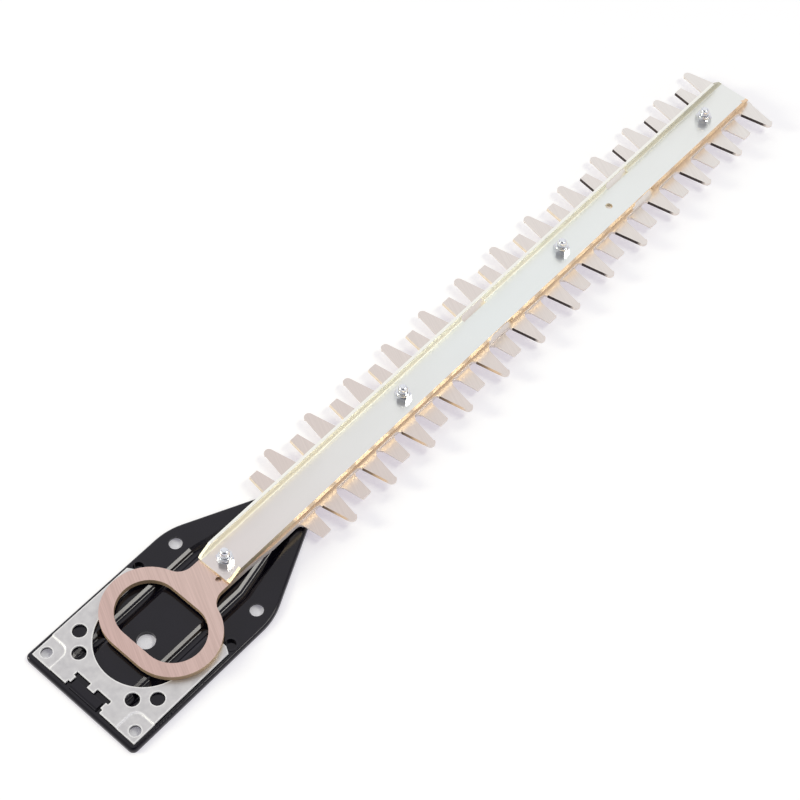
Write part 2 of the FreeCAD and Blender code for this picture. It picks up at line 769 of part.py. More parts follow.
seat = new_sketch(base, "seat", "XY_Plane", "base_high")
circle(seat, "bolt_first", "0", "seat_radius")
pad(base, seat, "seat_rise", False, "-seat_slope")
seat_under = new_sketch(base, "seat_under", "XY_Plane", "base_under")
circle(seat_under, "bolt_first", "0", "seat_under_radius")
pocket(base, seat_under, "seat_rise", True, "-seat_slope")
crank_collar = new_sketch(base, "crank_collar")
circle(crank_collar, "0", "0", "crank_collar_radius")
pad(base, crank_collar, "crank_collar_high")

lug = new_sketch(base, "lug", "XY_Plane", "lug_sink")
rectangle(lug, "-lug_rear", "-lug_front", "-lug_half", "lug_half")
pad(base, lug, "lug_total")
lug_top = number("lug_sink") + number("lug_total")
lug_back = -number("lug_rear")


def lug_back_edge(edge):
    box = edge.BoundBox
    return box.YLength > 10 and abs(box.ZMax - lug_top) < 1e-3 and abs(box.XMin - lug_back) < 1e-3 \
        and box.ZLength < 1e-4 and box.XLength < 1e-4


round_edges(base, "lug_round", "lug_bend", lug_back_edge)
lug_hollow = new_sketch(base, "lug_hollow", "XY_Plane", "base_under")
rectangle(lug_hollow, "-lug_hollow_rear", "-lug_hollow_front", "-lug_hollow_half", "lug_hollow_half")
pocket(base, lug_hollow, "lug_high", True)

cups = new_sketch(base, "cups", "XY_Plane", "cup_low")
cup_rooms = new_sketch(base, "cup_rooms", "XY_Plane", "cup_top")
holes = new_sketch(base, "holes")
circle(holes, "0", "0", "crank_hole_radius")
circle(holes, "bolt_first", "0", "hole_radius")
for side in ("", "-"):
    circle(cups, "cup_x", side + "cup_y", "cup_radius")
    circle(cup_rooms, "cup_x", side + "cup_y", "cup_hole_radius")
    circle(holes, "front_hole_x", side + "front_hole_y", "front_hole_radius")
    circle(holes, "-rear_hole_x", side + "rear_hole_y", "rear_hole_radius")
pad(base, cups, "cup_high")
pocket(base, cup_rooms, "cup_deep")
pocket(base, holes)
nodes.append(base)


# Wear plate: U-shaped sheet with stepped corner pads, ears, rear notch and holes
wear = new_body("wear_plate", "0", "wear_z")
wear_plan = new_sketch(wear, "wear_plan")
outline(wear_plan, [
    ("-wear_rear", "-wear_half"), ("ear_side", "-wear_half"), ("ear_front", "-ear_corner"),
    ("ear_front", "ear_corner"), ("ear_side", "wear_half"), ("-wear_rear", "wear_half"),
])
pad(wear, wear_plan, "wear_sheet")
wear_round = new_sketch(wear, "wear_round")
circle(wear_round, "0", "0", "wear_mouth")
pocket(wear, wear_round)
wear_open = new_sketch(wear, "wear_open")
rectangle(wear_open, "0", "mouth_front", "-wear_mouth", "wear_mouth")
pocket(wear, wear_open)


def corner_plan(name, lift, front, inner, radius):
    """Both rear corners, each with a round inner corner."""
    sketch = new_sketch(wear, name, "XY_Plane", lift)
    for side in ("", "-"):
        path = [
            ("-" + front, side + "pad_turn_y"), ("-" + front, side + "pad_over_side"),
            ("-pad_over_rear", side + "pad_over_side"), ("-pad_over_rear", side + inner),
            ("-pad_turn_x", side + inner),
        ]
        edges = open_path(sketch, path)
        turn = Part.Circle(point("-pad_turn_x", side + "pad_turn_y"), Vector(0, 0, 1), number(radius))
        start = -math.pi / 2 if side == "" else 0.0
        arc = sketch.addGeometry(Part.ArcOfCircle(turn, start, start + math.pi / 2), False)
        ends = (1, 2) if side == "" else (2, 1)
        sketch.addConstraint(Sketcher.Constraint("Coincident", edges[-1], 2, arc, ends[0]))
        sketch.addConstraint(Sketcher.Constraint("Coincident", edges[0], 1, arc, ends[1]))
        index = sketch.addConstraint(Sketcher.Constraint("Radius", arc, number(radius)))
        tie(sketch, "Constraints[%d]" % index, radius)
    return sketch


pad_block = corner_plan("pad_block", "0", "pad_block_front", "pad_block_inner", "pad_block_radius")
pad(wear, pad_block, "wear_step", True, "-pad_slope")
pad_recess = corner_plan("pad_recess", "wear_sheet", "pad_front", "pad_inner", "pad_radius")
pocket(wear, pad_recess, "wear_step", False, "-pad_slope")
trim = new_sketch(wear, "trim")
rectangle(trim, "-trim_rear", "trim_front", "-trim_side", "trim_side")
rectangle(trim, "-wear_rear", "ear_front", "-wear_half", "wear_half")
pocket(wear, trim)

notch = new_sketch(wear, "notch")
outline(notch, [
    ("-notch_over", "-notch_half"), ("-notch_nub_rear", "-notch_half"),
    ("-notch_nub_rear", "-notch_nub_half"), ("-notch_nub_front", "-notch_nub_half"),
    ("-notch_nub_front", "-notch_half"), ("-notch_front", "-notch_half"),
    ("-notch_front", "-notch_tongue_half"), ("-notch_tongue_rear", "-notch_tongue_half"),
    ("-notch_tongue_rear", "notch_tongue_half"), ("-notch_front", "notch_tongue_half"),
    ("-notch_front", "notch_half"), ("-notch_nub_front", "notch_half"),
    ("-notch_nub_front", "notch_nub_half"), ("-notch_nub_rear", "notch_nub_half"),
    ("-notch_nub_rear", "notch_half"), ("-notch_over", "notch_half"),
])
pocket(wear, notch)
wear_tabs = new_sketch(wear, "wear_tabs")
rectangle(wear_tabs, "ear_tab_rear", "ear_front", "ear_tab_in", "ear_tab_out")
rectangle(wear_tabs, "ear_tab_rear", "ear_front", "-ear_tab_out", "-ear_tab_in")
pad(wear, wear_tabs, "wear_step", True)
wear_holes = new_sketch(wear, "wear_holes")
for side in ("", "-"):
    circle(wear_holes, "-wear_hole_a_x", side + "wear_hole_a_y", "wear_hole_radius")
    circle(wear_holes, "-wear_hole_b_x", side + "wear_hole_b_y", "wear_hole_radius")
    circle(wear_holes, "-rear_hole_x", side + "rear_hole_y", "rear_hole_radius")
pocket(wear, wear_holes)
nodes.append(wear)


# Fasteners along the bar: bolt, sleeve, washer, lock nut and nylon ring at each place
def hexagon(sketch, flat, corner, half_corner):
    outline(sketch, [
        (corner, "0"), (half_corner, flat), ("-" + half_corner, flat),
        ("-" + corner, "0"), ("-" + half_corner, "-" + flat), (half_corner, "-" + flat),
    ])


def set_along(body, index):
    body.setExpression("Placement.Base.x", "dims.bolt_first + %d * dims.bolt_space" % index)


for index in range(int(number("bolt_count"))):
    tag = "%d" % (index + 1)
    bolt = new_body("bolt_" + tag, "0", "bolt_one_z" if index == 0 else "0")
    set_along(bolt, index)
    head = new_sketch(bolt, "head_" + tag)
    circle(head, "0", "0", "head_radius")
    pad(bolt, head, "head_height")
    round_edges(bolt, "head_round_" + tag, "head_round", lambda edge: abs(edge.BoundBox.ZMax) < 1e-4)
    socket = new_sketch(bolt, "socket_" + tag)
    hexagon(socket, "socket_half", "socket_corner", "socket_corner_half")
    pocket(bolt, socket, "socket_deep", True)
    shank = new_sketch(bolt, "shank_" + tag, "XY_Plane", "head_height")
    circle(shank, "0", "0", "shank_radius")
    pad(bolt, shank, "shank_long")
    bolt_end = number("head_height") + number("shank_long")
    round_edges(bolt, "thread_round_" + tag, "thread_round",
                lambda edge: abs(edge.BoundBox.ZMin - bolt_end) < 1e-4)
    nodes.append(bolt)

    sleeve = new_body("sleeve_" + tag, "0", "seat_top")
    set_along(sleeve, index)
    tube = new_sketch(sleeve, "tube_" + tag)
    circle(tube, "0", "0", "sleeve_radius")
    circle(tube, "0", "0", "hole_radius")
    pad(sleeve, tube, "sleeve_long")
    nodes.append(sleeve)

    if index > 0:
        washer = new_body("washer_" + tag, "0", "head_height")
        set_along(washer, index)
        disc = new_sketch(washer, "disc_" + tag)
        circle(disc, "0", "0", "washer_radius")
        circle(disc, "0", "0", "hole_radius")
        pad(washer, disc, "washer_thick")
        nodes.append(washer)

    nut = new_body("lock_nut_" + tag, "0", "nut_z")
    set_along(nut, index)
    hexa = new_sketch(nut, "hexa_" + tag)
    hexagon(hexa, "nut_half", "nut_corner", "nut_corner_half")
    pad(nut, hexa, "nut_hex_high")
    bevel = new_sketch(nut, "bevel_" + tag, "XZ_Plane")
    outline(bevel, [("nut_half", "nut_hex_high"), ("nut_over", "nut_hex_high"), ("nut_over", "nut_bevel_low")])
    turned_cut(nut, bevel)
    collar = new_sketch(nut, "collar_" + tag)
    circle(collar, "0", "0", "nut_collar_radius")
    pad(nut, collar, "nut_high")
    nut_top = number("nut_high")
    round_edges(nut, "collar_round_" + tag, "nut_collar_round",
                lambda edge: abs(edge.BoundBox.ZMin - nut_top) < 1e-4)
    bore = new_sketch(nut, "bore_" + tag)
    circle(bore, "0", "0", "hole_radius")
    pocket(nut, bore)
    room = new_sketch(nut, "room_" + tag, "XY_Plane", "nut_crown")
    circle(room, "0", "0", "insert_radius")
    pocket(nut, room, "insert_deep")
    nodes.append(nut)

    insert = new_body("nut_insert_" + tag, "0", "insert_z")
    set_along(insert, index)
    nylon = new_sketch(insert, "nylon_" + tag)
    circle(nylon, "0", "0", "insert_radius")
    circle(nylon, "0", "0", "hole_radius")
    pad(insert, nylon, "insert_deep")
    nodes.append(insert)

doc.recompute()

# Every object has to be sound before it is written
for item in doc.Objects:
    if "Invalid" in item.State or "Error" in item.State:
        raise RuntimeError("not sound: " + item.Name)
os.makedirs("parts", exist_ok=True)
for node in nodes:
    shape = node.Shape
    if shape.isNull() or not shape.isValid():
        raise RuntimeError("bad shape: " + node.Label)
    shape.exportStep("parts/%s.step" % node.Label)
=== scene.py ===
import json
import math

import bpy
from mathutils import Matrix, Vector


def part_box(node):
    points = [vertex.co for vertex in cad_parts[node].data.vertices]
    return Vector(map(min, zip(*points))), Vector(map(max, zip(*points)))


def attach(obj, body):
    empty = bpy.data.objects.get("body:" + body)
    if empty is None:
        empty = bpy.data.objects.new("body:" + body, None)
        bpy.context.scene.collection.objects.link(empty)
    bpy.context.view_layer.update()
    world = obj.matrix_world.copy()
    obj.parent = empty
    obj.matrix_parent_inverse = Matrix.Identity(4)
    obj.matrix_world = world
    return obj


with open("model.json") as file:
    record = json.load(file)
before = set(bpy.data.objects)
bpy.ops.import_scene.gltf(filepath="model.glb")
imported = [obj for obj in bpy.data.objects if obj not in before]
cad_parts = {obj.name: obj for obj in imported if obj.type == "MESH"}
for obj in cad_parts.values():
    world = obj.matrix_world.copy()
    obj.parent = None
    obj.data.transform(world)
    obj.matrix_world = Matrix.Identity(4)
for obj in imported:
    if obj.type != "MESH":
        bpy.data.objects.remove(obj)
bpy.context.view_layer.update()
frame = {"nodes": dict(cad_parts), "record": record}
nodes = frame["nodes"]
scene = bpy.context.scene
scene.view_settings.view_transform = "Standard"

# Full white, black, and the stretch of a noise that is the same along all axes
WHITE = (1.0, 1.0, 1.0)
BLACK = (0.0, 0.0, 0.0)
EVEN = (1.0, 1.0, 1.0)


# Node helpers for the finishes
def new_material(name):
    material = bpy.data.materials.new(name)
    material.use_nodes = True
    tree = material.node_tree
    shader = tree.nodes["Principled BSDF"]
    return material, tree, shader


def link(tree, source, socket, target, name):
    """Link to a socket of the target, which is given by its name or its number."""
    tree.links.new(source.outputs[socket], target.inputs[name])


def stretched_noise(tree, scale, stretch, detail, turn=0.0):
    """Noise in object space, drawn out along axes that are turned about Z."""
    coordinates = tree.nodes.new("ShaderNodeTexCoord")
    mapping = tree.nodes.new("ShaderNodeMapping")
    mapping.vector_type = "TEXTURE"
    mapping.inputs["Rotation"].default_value = (0.0, 0.0, math.radians(turn))
    mapping.inputs["Scale"].default_value = [1.0 / factor for factor in stretch]
    noise = tree.nodes.new("ShaderNodeTexNoise")
    noise.inputs["Scale"].default_value = scale
    noise.inputs["Detail"].default_value = detail
    link(tree, coordinates, "Object", mapping, "Vector")
    link(tree, mapping, "Vector", noise, "Vector")
    return noise


def ramp(tree, source, socket, stops):
    """Colours at places from 0 to 1 of the source."""
    node = tree.nodes.new("ShaderNodeValToRGB")
    band = node.color_ramp
    while len(band.elements) < len(stops):
        band.elements.new(0.5)
    for element, (position, color) in zip(band.elements, stops):
        element.position = position
        element.color = (*color, 1.0)
    link(tree, source, socket, node, "Fac")
    return node


def map_range(tree, source, socket, low, high, to_low, to_high):
    node = tree.nodes.new("ShaderNodeMapRange")
    node.inputs["From Min"].default_value = low
    node.inputs["From Max"].default_value = high
    node.inputs["To Min"].default_value = to_low
    node.inputs["To Max"].default_value = to_high
    link(tree, source, socket, node, "Value")
    return node


def rise(tree, source, socket, low, high):
    """Zero at low, one at high."""
    return map_range(tree, source, socket, low, high, 0.0, 1.0)


def fall(tree, source, socket, low, high):
    """One at low, zero at high."""
    return map_range(tree, source, socket, low, high, 1.0, 0.0)


def noise_range(tree, noise, to_low, to_high):
    """Numbers that follow the middle of a noise's range."""
    return map_range(tree, noise, "Fac", 0.3, 0.7, to_low, to_high)


def math_node(tree, operation, source, socket, second=None, second_socket="Value"):
    node = tree.nodes.new("ShaderNodeMath")
    node.operation = operation
    link(tree, source, socket, node, 0)
    if isinstance(second, float):
        node.inputs[1].default_value = second
    elif second is not None:
        link(tree, second, second_socket, node, 1)
    return node


def mix_color(tree, factor, socket, first, second):
    """Blend of two colours, each a node with a Color output or three numbers."""
    node = tree.nodes.new("ShaderNodeMixRGB")
    link(tree, factor, socket, node, "Fac")
    for name, color in (("Color1", first), ("Color2", second)):
        if isinstance(color, tuple):
            node.inputs[name].default_value = (*color, 1.0)
        else:
            link(tree, color, "Color", node, name)
    return node


def mix_value(tree, factor, first, second):
    """Blend of two values, each a node with a Result output or a number."""
    node = tree.nodes.new("ShaderNodeMix")
    link(tree, factor, "Result", node, "Factor")
    for name, value in (("A", first), ("B", second)):
        if isinstance(value, float):
            node.inputs[name].default_value = value
        else:
            link(tree, value, "Result", node, name)
    return node


def add_bump(tree, shader, noise, strength, distance):
    bump = tree.nodes.new("ShaderNodeBump")
    bump.inputs["Strength"].default_value = strength
    bump.inputs["Distance"].default_value = distance
    link(tree, noise, "Fac", bump, "Height")
    link(tree, bump, "Normal", shader, "Normal")


def object_place(tree):
    """X, Y and Z on the object, in metres."""
    coordinates = tree.nodes.new("ShaderNodeTexCoord")
    split = tree.nodes.new("ShaderNodeSeparateXYZ")
    link(tree, coordinates, "Object", split, "Vector")
    return split


def face_normal(tree):
    """X, Y and Z of the direction that a face points in."""
    geometry = tree.nodes.new("ShaderNodeNewGeometry")
    split = tree.nodes.new("ShaderNodeSeparateXYZ")
    link(tree, geometry, "Normal", split, "Vector")
    return split


def level_faces(tree, low, high):
    """One on faces that lie flat, zero on faces that stand up."""
    upright = math_node(tree, "ABSOLUTE", face_normal(tree), "Z")
    return rise(tree, upright, "Value", low, high)


# Sharp edges, which the finishes below give painted highlights
def highlight_edges(tree, radius, low, high):
    """One along sharp edges, zero on the faces between them."""
    bevel = tree.nodes.new("ShaderNodeBevel")
    bevel.samples = 6
    bevel.inputs["Radius"].default_value = radius
    geometry = tree.nodes.new("ShaderNodeNewGeometry")
    dot = tree.nodes.new("ShaderNodeVectorMath")
    dot.operation = "DOT_PRODUCT"
    link(tree, bevel, "Normal", dot, 0)
    link(tree, geometry, "Normal", dot, 1)
    return fall(tree, dot, "Value", low, high)


# Flat faces of the blades: browner at the yoke, with grinding lines that are weaker on the teeth
def ground_face(tree, place, lines):
    tint_rear = -0.02
    tint_tip = 0.48
    along = rise(tree, place, "X", tint_rear, tint_tip)
    tint = ramp(tree, along, "Result", [
        (0.0, (0.77, 0.55, 0.50)),
        (0.13, (0.80, 0.61, 0.55)),
        (0.20, (0.80, 0.70, 0.655)),
        (1.0, (0.92, 0.885, 0.845)),
    ])
    streak = ramp(tree, lines, "Fac", [(0.30, (0.86, 0.85, 0.84)), (0.70, (1.06, 1.06, 1.06))])
    full_until = 0.03
    weak_from = 0.09
    weak = 0.35
    strength = map_range(tree, place, "X", full_until, weak_from, 1.0, weak)
    face = tree.nodes.new("ShaderNodeMixRGB")
    face.blend_type = "MULTIPLY"
    link(tree, strength, "Result", face, "Fac")
    link(tree, tint, "Color", face, "Color1")
    link(tree, streak, "Color", face, "Color2")
    return face


# Bevels on the rear of the teeth, coloured with painted reflections: gold near the yoke, dark towards
# the tip and sooner on the right
def tooth_bevel_reflections(tree, place):
    tooth_root = 0.010
    tooth_end = 0.030
    bare = (0.80, 0.72, 0.68)
    black = (0.045, 0.032, 0.03)
    pale_gold_reflection = (0.84, 0.73, 0.60)
    reach = math_node(tree, "ABSOLUTE", place, "Y")
    outward = rise(tree, reach, "Value", tooth_root, tooth_end)
    # painted reflection across each tooth: dark at the root, gold further out, plain at the tip
    gold_reflection_ramp = ramp(tree, outward, "Result", [
        (0.12, (0.10, 0.08, 0.06)),
        (0.45, (0.45, 0.32, 0.20)),
        (0.60, (0.80, 0.58, 0.36)),
        (0.85, (0.80, 0.60, 0.42)),
        (0.95, bare),
    ])
    # painted dark reflection that takes over towards the tip of the blade
    dark = ramp(tree, outward, "Result", [(0.12, black), (0.85, black), (0.97, bare)])
    middle = 0.004
    right_shift = 0.024
    left_shift = -0.081
    dark_start = 0.262
    dark_full = 0.278
    shift = map_range(tree, place, "Y", -middle, middle, right_shift, left_shift)
    shifted = math_node(tree, "ADD", shift, "Result", place, "X")
    far = rise(tree, shifted, "Value", dark_start, dark_full)
    # pale gold painted reflection on the left side
    left = rise(tree, place, "Y", 0.0, middle)
    near_color = mix_color(tree, left, "Result", gold_reflection_ramp, pale_gold_reflection)
    return mix_color(tree, far, "Result", near_color, dark)


# Sides of the blades: the bevels with their painted reflections, plain sides elsewhere and brown ones
# at the yoke
def blade_side(tree, place):
    plain = (0.86, 0.79, 0.74)
    brown = (0.46, 0.33, 0.20)
    brown_until = 0.045
    plain_from = 0.060
    normal = face_normal(tree)
    rearward = rise(tree, normal, "X", -0.45, -0.75)
    upward = rise(tree, normal, "Z", 0.08, 0.16)
    bevelled = math_node(tree, "MULTIPLY", rearward, "Result", upward, "Result")
    side = mix_color(tree, bevelled, "Value", plain, tooth_bevel_reflections(tree, place))
    yoke = fall(tree, place, "X", brown_until, plain_from)
    return mix_color(tree, yoke, "Result", side, brown)


# Ground blade steel
def blade_steel():
    material, tree, shader = new_material("blade_steel")
    side_metal = 0.35
    side_roughness = 0.5
    place = object_place(tree)
    lines = stretched_noise(tree, scale=1.0, stretch=(30.0, 1500.0, 300.0), detail=3.0, turn=64.0)
    level = level_faces(tree, low=0.90, high=0.97)
    color = mix_color(tree, level, "Result", blade_side(tree, place), ground_face(tree, place, lines))
    link(tree, color, "Color", shader, "Base Color")
    metal = map_range(tree, level, "Result", 0.0, 1.0, side_metal, 1.0)
    link(tree, metal, "Result", shader, "Metallic")
    face_roughness = noise_range(tree, lines, 0.32, 0.36)
    rough = mix_value(tree, level, side_roughness, face_roughness)
    link(tree, rough, "Result", shader, "Roughness")
    add_bump(tree, shader, lines, strength=0.015, distance=0.0002)
    return material


# Bent sides of the bar, coloured with painted reflections: pale yellow to olive on the left, gold to
# orange-brown on the right
def bar_side_reflections(tree, along, left):
    # painted reflection of the lamp on the left side, pale near the yoke and olive towards the tip
    left_reflection_tint = ramp(tree, along, "Result", [
        (0.0, (1.0, 0.96, 0.78)),
        (0.6, (1.0, 0.98, 0.84)),
        (0.8, (0.86, 0.84, 0.70)),
        (1.0, (0.62, 0.60, 0.49)),
    ])
    # painted warm reflection of the teeth on the right side
    right_reflection_tint = ramp(tree, along, "Result", [
        (0.0, (0.94, 0.80, 0.58)),
        (0.5, (0.94, 0.77, 0.54)),
        (1.0, (0.90, 0.68, 0.46)),
    ])
    return mix_color(tree, left, "Result", right_reflection_tint, left_reflection_tint)


# Bright zinc plating of the bar, duller on the bent sides, which carry painted reflections, and with
# a pale painted highlight on the top rim of the left one
def zinc():
    material, tree, shader = new_material("zinc")
    tint_rear = 0.04
    tint_tip = 0.48
    middle = 0.002
    rim_start = 0.0138
    rim_full = 0.0141
    rim_highlight_color = (1.0, 1.0, 0.95)
    right_roughness = 0.48
    left_roughness = 0.56
    left_bare = 0.45
    rim_bare = 0.6
    place = object_place(tree)
    along = rise(tree, place, "X", tint_rear, tint_tip)
    left = rise(tree, place, "Y", -middle, middle)
    level = level_faces(tree, low=0.90, high=0.985)
    floor_tint = ramp(tree, along, "Result", [
        (0.0, (0.84, 0.77, 0.75)),
        (0.25, (0.89, 0.89, 0.87)),
        (0.5, (0.91, 0.945, 0.93)),
        (1.0, (0.935, 0.945, 0.915)),
    ])
    sheet = mix_color(tree, level, "Result", bar_side_reflections(tree, along, left), floor_tint)
    # painted highlight along the top rim of the left side, pale and less metallic
    crest = rise(tree, place, "Z", rim_start, rim_full)
    rim = math_node(tree, "MULTIPLY", crest, "Result", left, "Result")
    color = mix_color(tree, rim, "Value", sheet, rim_highlight_color)
    link(tree, color, "Color", shader, "Base Color")
    cloud = stretched_noise(tree, scale=140.0, stretch=(0.3, 1.0, 1.0), detail=4.0)
    floor_roughness = noise_range(tree, cloud, 0.30, 0.36)
    side_roughness = map_range(tree, left, "Result", 0.0, 1.0, right_roughness, left_roughness)
    rough = mix_value(tree, level, side_roughness, floor_roughness)
    link(tree, rough, "Result", shader, "Roughness")
    bare = map_range(tree, level, "Result", 0.0, 1.0, left_bare, 0.0)
    dull_side = math_node(tree, "MULTIPLY", bare, "Result", left, "Result")
    dull_rim = math_node(tree, "MULTIPLY", rim, "Value", rim_bare)
    dull = math_node(tree, "MAXIMUM", dull_side, "Value", dull_rim, "Value")
    metal = fall(tree, dull, "Value", 0.0, 1.0)
    link(tree, metal, "Result", shader, "Metallic")
    return material


# Gloss black paint of the base plate, with a faint painted highlight along the edges
def black_paint():
    material, tree, shader = new_material("black_paint")
    edge_highlight_color = (0.018, 0.017, 0.022)
    cloud = stretched_noise(tree, scale=90.0, stretch=EVEN, detail=5.0)
    tint = ramp(tree, cloud, "Fac", [(0.35, (0.003, 0.0027, 0.0058)), (0.65, (0.0045, 0.004, 0.008))])
    # painted highlight: a slightly paler black along sharp edges
    edge_highlight = highlight_edges(tree, radius=0.0007, low=0.80, high=0.98)
    color = mix_color(tree, edge_highlight, "Result", tint, edge_highlight_color)
    link(tree, color, "Color", shader, "Base Color")
    rough = noise_range(tree, cloud, 0.10, 0.15)
    link(tree, rough, "Result", shader, "Roughness")
    shader.inputs["IOR"].default_value = 1.45
    shader.inputs["Specular Tint"].default_value = (0.95, 0.92, 0.97, 1.0)
    peel = stretched_noise(tree, scale=700.0, stretch=EVEN, detail=1.0)
    add_bump(tree, shader, peel, strength=0.008, distance=0.0002)
    return material


# Dull galvanised sheet of the wear plate, with painted highlights: white edges and near-white
# standing sides, both less metallic
def galvanised():
    material, tree, shader = new_material("galvanised")
    # near-white painted highlight for the standing sides
    side_highlight_color = (0.98, 0.98, 0.98)
    edge_highlight_metal = 0.35
    cloud = stretched_noise(tree, scale=260.0, stretch=EVEN, detail=6.0)
    tint = ramp(tree, cloud, "Fac", [(0.3, (0.69, 0.675, 0.685)), (0.7, (0.81, 0.795, 0.795))])
    # painted highlight: white and less metallic along sharp edges
    edge_highlight = highlight_edges(tree, radius=0.0014, low=0.90, high=0.995)
    face = mix_color(tree, edge_highlight, "Result", tint, WHITE)
    level = level_faces(tree, low=0.90, high=0.97)
    color = mix_color(tree, level, "Result", side_highlight_color, face)
    link(tree, color, "Color", shader, "Base Color")
    shader.inputs["Roughness"].default_value = 0.42
    side = fall(tree, level, "Result", 0.0, 1.0)
    bare = math_node(tree, "MAXIMUM", edge_highlight, "Result", side, "Result")
    metal = map_range(tree, bare, "Value", 0.0, 1.0, 1.0, edge_highlight_metal)
    link(tree, metal, "Result", shader, "Metallic")
    return material


# Zinc-plated bolts, nuts, sleeves and washers
def fastener():
    material, tree, shader = new_material("fastener")
    shader.inputs["Metallic"].default_value = 1.0
    cloud = stretched_noise(tree, scale=500.0, stretch=EVEN, detail=4.0)
    tint = ramp(tree, cloud, "Fac", [(0.3, (0.79, 0.81, 0.85)), (0.7, (0.88, 0.90, 0.94))])
    link(tree, tint, "Color", shader, "Base Color")
    rough = noise_range(tree, cloud, 0.15, 0.22)
    link(tree, rough, "Result", shader, "Roughness")
    return material


# Nylon ring of the lock nuts
def nylon():
    material, tree, shader = new_material("nylon")
    cloud = stretched_noise(tree, scale=400.0, stretch=EVEN, detail=3.0)
    tint = ramp(tree, cloud, "Fac", [(0.3, (0.39, 0.45, 0.57)), (0.7, (0.45, 0.51, 0.63))])
    link(tree, tint, "Color", shader, "Base Color")
    shader.inputs["Roughness"].default_value = 0.45
    return material


finishes = {
    "blade_steel": blade_steel(),
    "zinc": zinc(),
    "black_paint": black_paint(),
    "galvanised": galvanised(),
    "fastener": fastener(),
    "nylon": nylon(),
}
for part in frame["record"]["subparts"]:
    piece = nodes[part["node"]]
    piece.data.materials.clear()
    piece.data.materials.append(finishes[part["material_slot"]])


# Thread on the end of each bolt above its nut: a closed ridge along a helix, faded out at both ends
def thread(name, center, low, high):
    pitch = 0.0008
    steps = 32
    run_out = 12.0
    crest = 0.00257
    faded = 0.00241
    sunk = 0.00238
    half_width = 0.00028
    count = int((high - low) / pitch * steps)
    points = []
    for step in range(count + 1):
        angle = 2.0 * math.pi * step / steps
        height = low + pitch * step / steps
        fade = min(1.0, step / run_out, (count - step) / run_out)
        outer = faded + (crest - faded) * fade
        for radius, lift in ((sunk, -half_width), (outer, 0.0), (sunk, half_width)):
            points.append((
                center[0] + radius * math.cos(angle),
                center[1] + radius * math.sin(angle),
                height + lift,
            ))
    faces = [(2, 1, 0), (3 * count, 3 * count + 1, 3 * count + 2)]
    for step in range(count):
        for side in range(3):
            here = 3 * step + side
            beside = 3 * step + (side + 1) % 3
            faces.append((here, beside, beside + 3, here + 3))
    mesh = bpy.data.meshes.new(name)
    mesh.from_pydata(points, [], faces)
    ridge = bpy.data.objects.new(name, mesh)
    scene.collection.objects.link(ridge)
    mesh.materials.append(finishes["fastener"])
    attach(ridge, "frame")


bolt_count = 4
nut_gap = 0.0001
bare_end = 0.0013
for index in range(1, bolt_count + 1):
    bolt_low, bolt_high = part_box("bolt_%d" % index)
    nut_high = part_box("lock_nut_%d" % index)[1]
    middle = ((bolt_low[0] + bolt_high[0]) / 2.0, (bolt_low[1] + bolt_high[1]) / 2.0)
    thread("thread_%d" % index, middle, nut_high[2] + nut_gap, bolt_high[2] - bare_end)


# Part of the floor that lies under the base plate
def under_plate(tree, surface):
    plate_middle = 0.006
    half_length = 0.050
    half_width = 0.036
    soft_edge = 0.001
    spot = tree.nodes.new("ShaderNodeSeparateXYZ")
    link(tree, surface, "Position", spot, "Vector")
    ahead = math_node(tree, "SUBTRACT", spot, "X", plate_middle)
    from_middle = math_node(tree, "ABSOLUTE", ahead, "Value")
    aside = math_node(tree, "ABSOLUTE", spot, "Y")
    inside_x = fall(tree, from_middle, "Value", half_length - soft_edge, half_length)
    inside_y = fall(tree, aside, "Value", half_width - soft_edge, half_width)
    return math_node(tree, "MULTIPLY", inside_x, "Result", inside_y, "Result")


# Floor as it is seen: white paper with the object's shadow, and plain white far away
def seen_paper(tree, surface):
    lift_open = (0.37, 0.35, 0.42)
    lift_under = (0.17, 0.165, 0.185)
    tone_open = (0.71, 0.73, 0.67)
    tone_under = (0.95, 0.95, 0.97)
    plain_start = 0.7
    plain_full = 2.0
    under = under_plate(tree, surface)
    distance = tree.nodes.new("ShaderNodeVectorMath")
    distance.operation = "LENGTH"
    link(tree, surface, "Position", distance, 0)
    distant = rise(tree, distance, "Value", plain_start, plain_full)
    lift = mix_color(tree, under, "Value", lift_open, lift_under)
    lift = mix_color(tree, distant, "Result", lift, WHITE)
    tone = mix_color(tree, under, "Value", tone_open, tone_under)
    tone = mix_color(tree, distant, "Result", tone, BLACK)
    glow = tree.nodes.new("ShaderNodeEmission")
    link(tree, lift, "Color", glow, "Color")
    shade = tree.nodes.new("ShaderNodeBsdfDiffuse")
    link(tree, tone, "Color", shade, "Color")
    paper = tree.nodes.new("ShaderNodeAddShader")
    link(tree, glow, "Emission", paper, 0)
    link(tree, shade, "BSDF", paper, 1)
    return paper


